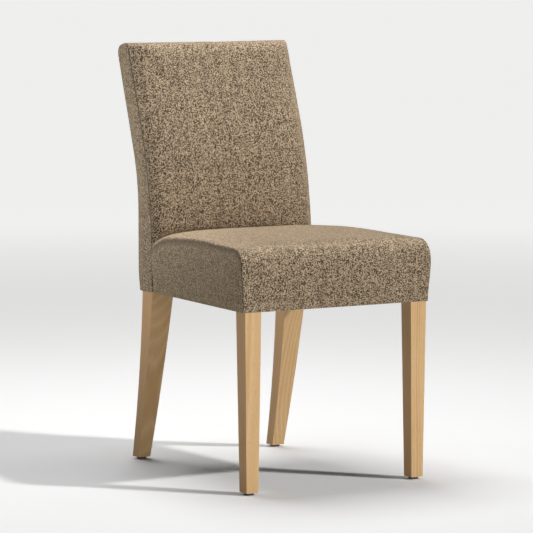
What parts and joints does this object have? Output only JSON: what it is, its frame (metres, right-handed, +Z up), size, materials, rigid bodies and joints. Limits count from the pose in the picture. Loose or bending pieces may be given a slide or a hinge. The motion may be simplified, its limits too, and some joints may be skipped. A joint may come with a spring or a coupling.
{
  "type": "upholstered parsons dining chair",
  "caption": "Fully upholstered armless parsons dining chair with a crowned waterfall seat, a raked padded back and tapered wooden legs on floor glides.",
  "frame": {"origin": "on the floor, under the middle of the overall box", "axes": "+X to the right as seen from the front, +Y from the front edge of the seat to the back, +Z up"},
  "size_m": [0.4576, 0.6043, 0.9276],
  "materials": {
    "leg_wood": "clear satin lacquer on light oak",
    "frame_wood": "planed, unfinished hardwood",
    "bolt_steel": "zinc plated",
    "glide_plastic": "moulded nylon",
    "webbing": "woven polypropylene strap",
    "black_cloth": "non-woven cambric",
    "foam": "open-cell cut foam",
    "wadding": "loose polyester fibre",
    "cover_fabric": "flecked plain weave upholstery cloth"
  },
  "bodies": {
    "root": {"front_leg_left": "leg_wood", "front_leg_right": "leg_wood", "rear_post_left": "leg_wood", "rear_post_right": "leg_wood", "foot_glide_front_left": "glide_plastic", "foot_glide_front_right": "glide_plastic", "foot_glide_rear_left": "glide_plastic", "foot_glide_rear_right": "glide_plastic", "front_rail": "frame_wood", "rear_rail": "frame_wood", "side_rail_left": "frame_wood", "side_rail_right": "frame_wood", "corner_block_front_left": "frame_wood", "corner_block_front_right": "frame_wood", "corner_block_rear_left": "frame_wood", "corner_block_rear_right": "frame_wood", "corner_block_bolts": "bolt_steel", "back_lower_rail": "frame_wood", "back_top_rail": "frame_wood", "seat_webbing_lengthwise": "webbing", "seat_webbing_crosswise": "webbing", "back_webbing": "webbing", "seat_deck_cloth": "black_cloth", "dust_cover": "black_cloth", "seat_foam": "foam", "back_foam": "foam", "seat_wadding": "wadding", "back_wadding": "wadding", "seat_cover_top": "cover_fabric", "seat_cover_side_left": "cover_fabric", "seat_cover_side_right": "cover_fabric", "back_cover_front": "cover_fabric", "back_cover_side_left": "cover_fabric", "back_cover_side_right": "cover_fabric", "back_cover_rear": "cover_fabric"}
  },
  "joints": []
}
